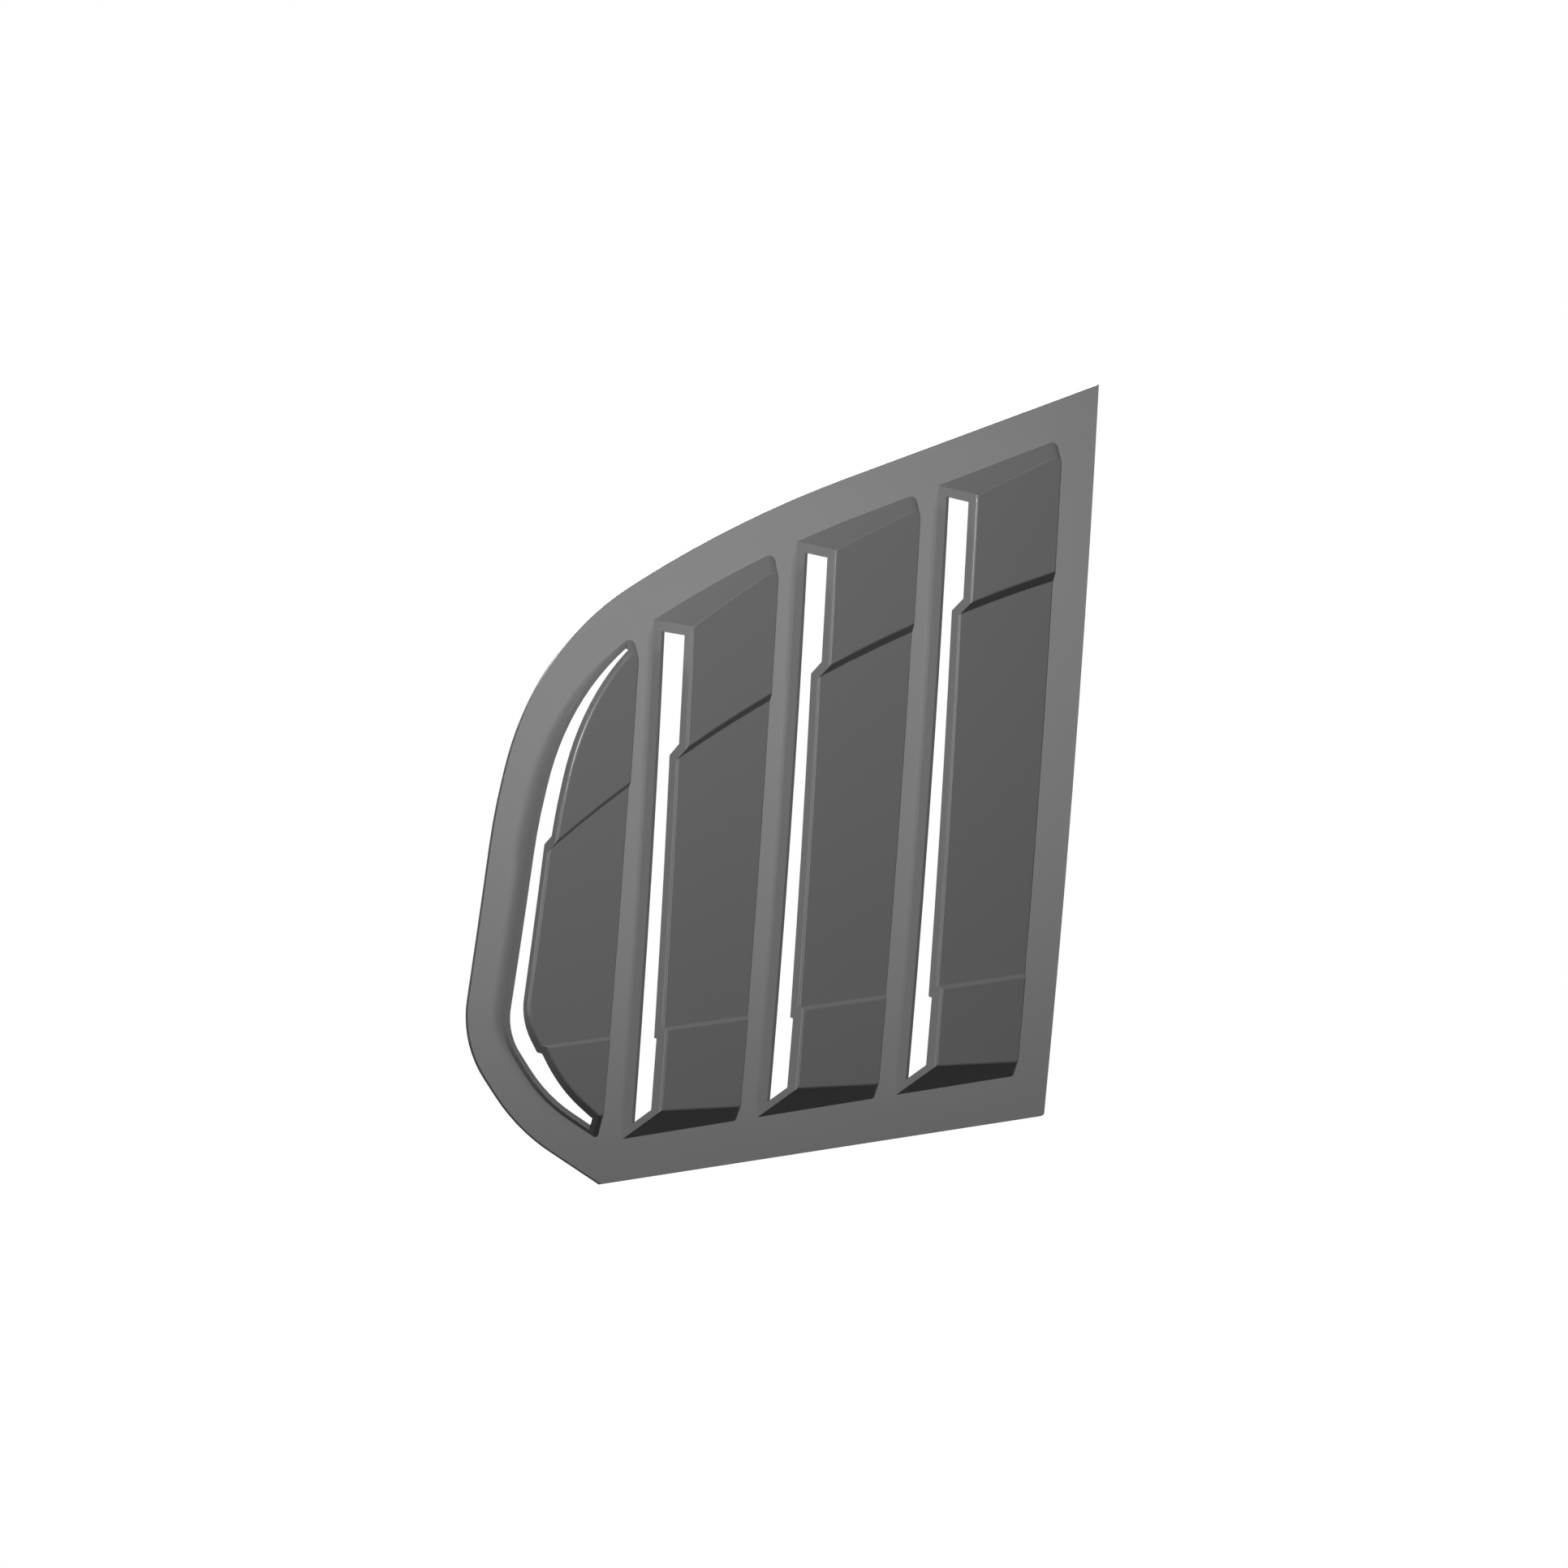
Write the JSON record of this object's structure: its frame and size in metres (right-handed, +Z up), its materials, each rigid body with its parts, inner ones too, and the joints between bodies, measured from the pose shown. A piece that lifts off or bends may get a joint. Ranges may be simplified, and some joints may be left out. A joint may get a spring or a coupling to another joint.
{
  "type": "window louver",
  "caption": "Curved moulded cover panel for a rear quarter window, with upright hollow scoop louvers that step in height and open rearward through slots",
  "frame": {"origin": "on the panel's inner face at the crest of its curve, near the middle of its outline", "axes": "+X towards the car's front, +Z up along the louvers, outer face towards -Y; right-hand side of the car"},
  "size_m": [0.2726, 0.0253, 0.3627],
  "materials": {
    "dark_plastic": "unpainted satin moulded plastic, dark charcoal grey"
  },
  "bodies": {
    "root": {"louver_panel": "dark_plastic"}
  },
  "joints": []
}
